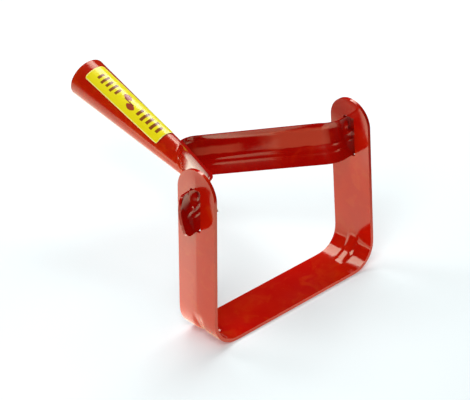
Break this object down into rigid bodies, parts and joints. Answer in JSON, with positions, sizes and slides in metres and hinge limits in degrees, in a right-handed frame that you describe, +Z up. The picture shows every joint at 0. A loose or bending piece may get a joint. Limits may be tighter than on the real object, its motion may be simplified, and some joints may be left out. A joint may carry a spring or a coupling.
{
  "type": "stirrup hoe head",
  "caption": "Head of an oscillating stirrup hoe: tapered handle socket, pressed V-shaped yoke and a strap blade that rocks on the yoke's tips.",
  "frame": {"origin": "middle of the blade's flat underside, with the stirrup's arms upright", "axes": "+X along the blade and the rocking axis, +Y back towards the handle, +Z up"},
  "size_m": [0.176, 0.2298, 0.1312],
  "materials": {
    "stirrup_enamel": "glossy",
    "yoke_enamel": "glossy",
    "socket_enamel": "glossy",
    "label_film": "glossy"
  },
  "bodies": {
    "head": {"handle_socket": "socket_enamel", "yoke": "yoke_enamel", "socket_label": "label_film"},
    "stirrup": {"stirrup_blade": "stirrup_enamel"}
  },
  "joints": [
    {"name": "stirrup_rock", "type": "hinge", "parent": "head", "child": "stirrup", "pos_m": [0, 0, 0.1017], "axis": [1, 0, 0], "range_deg": [-19.5, 0.5]}
  ]
}
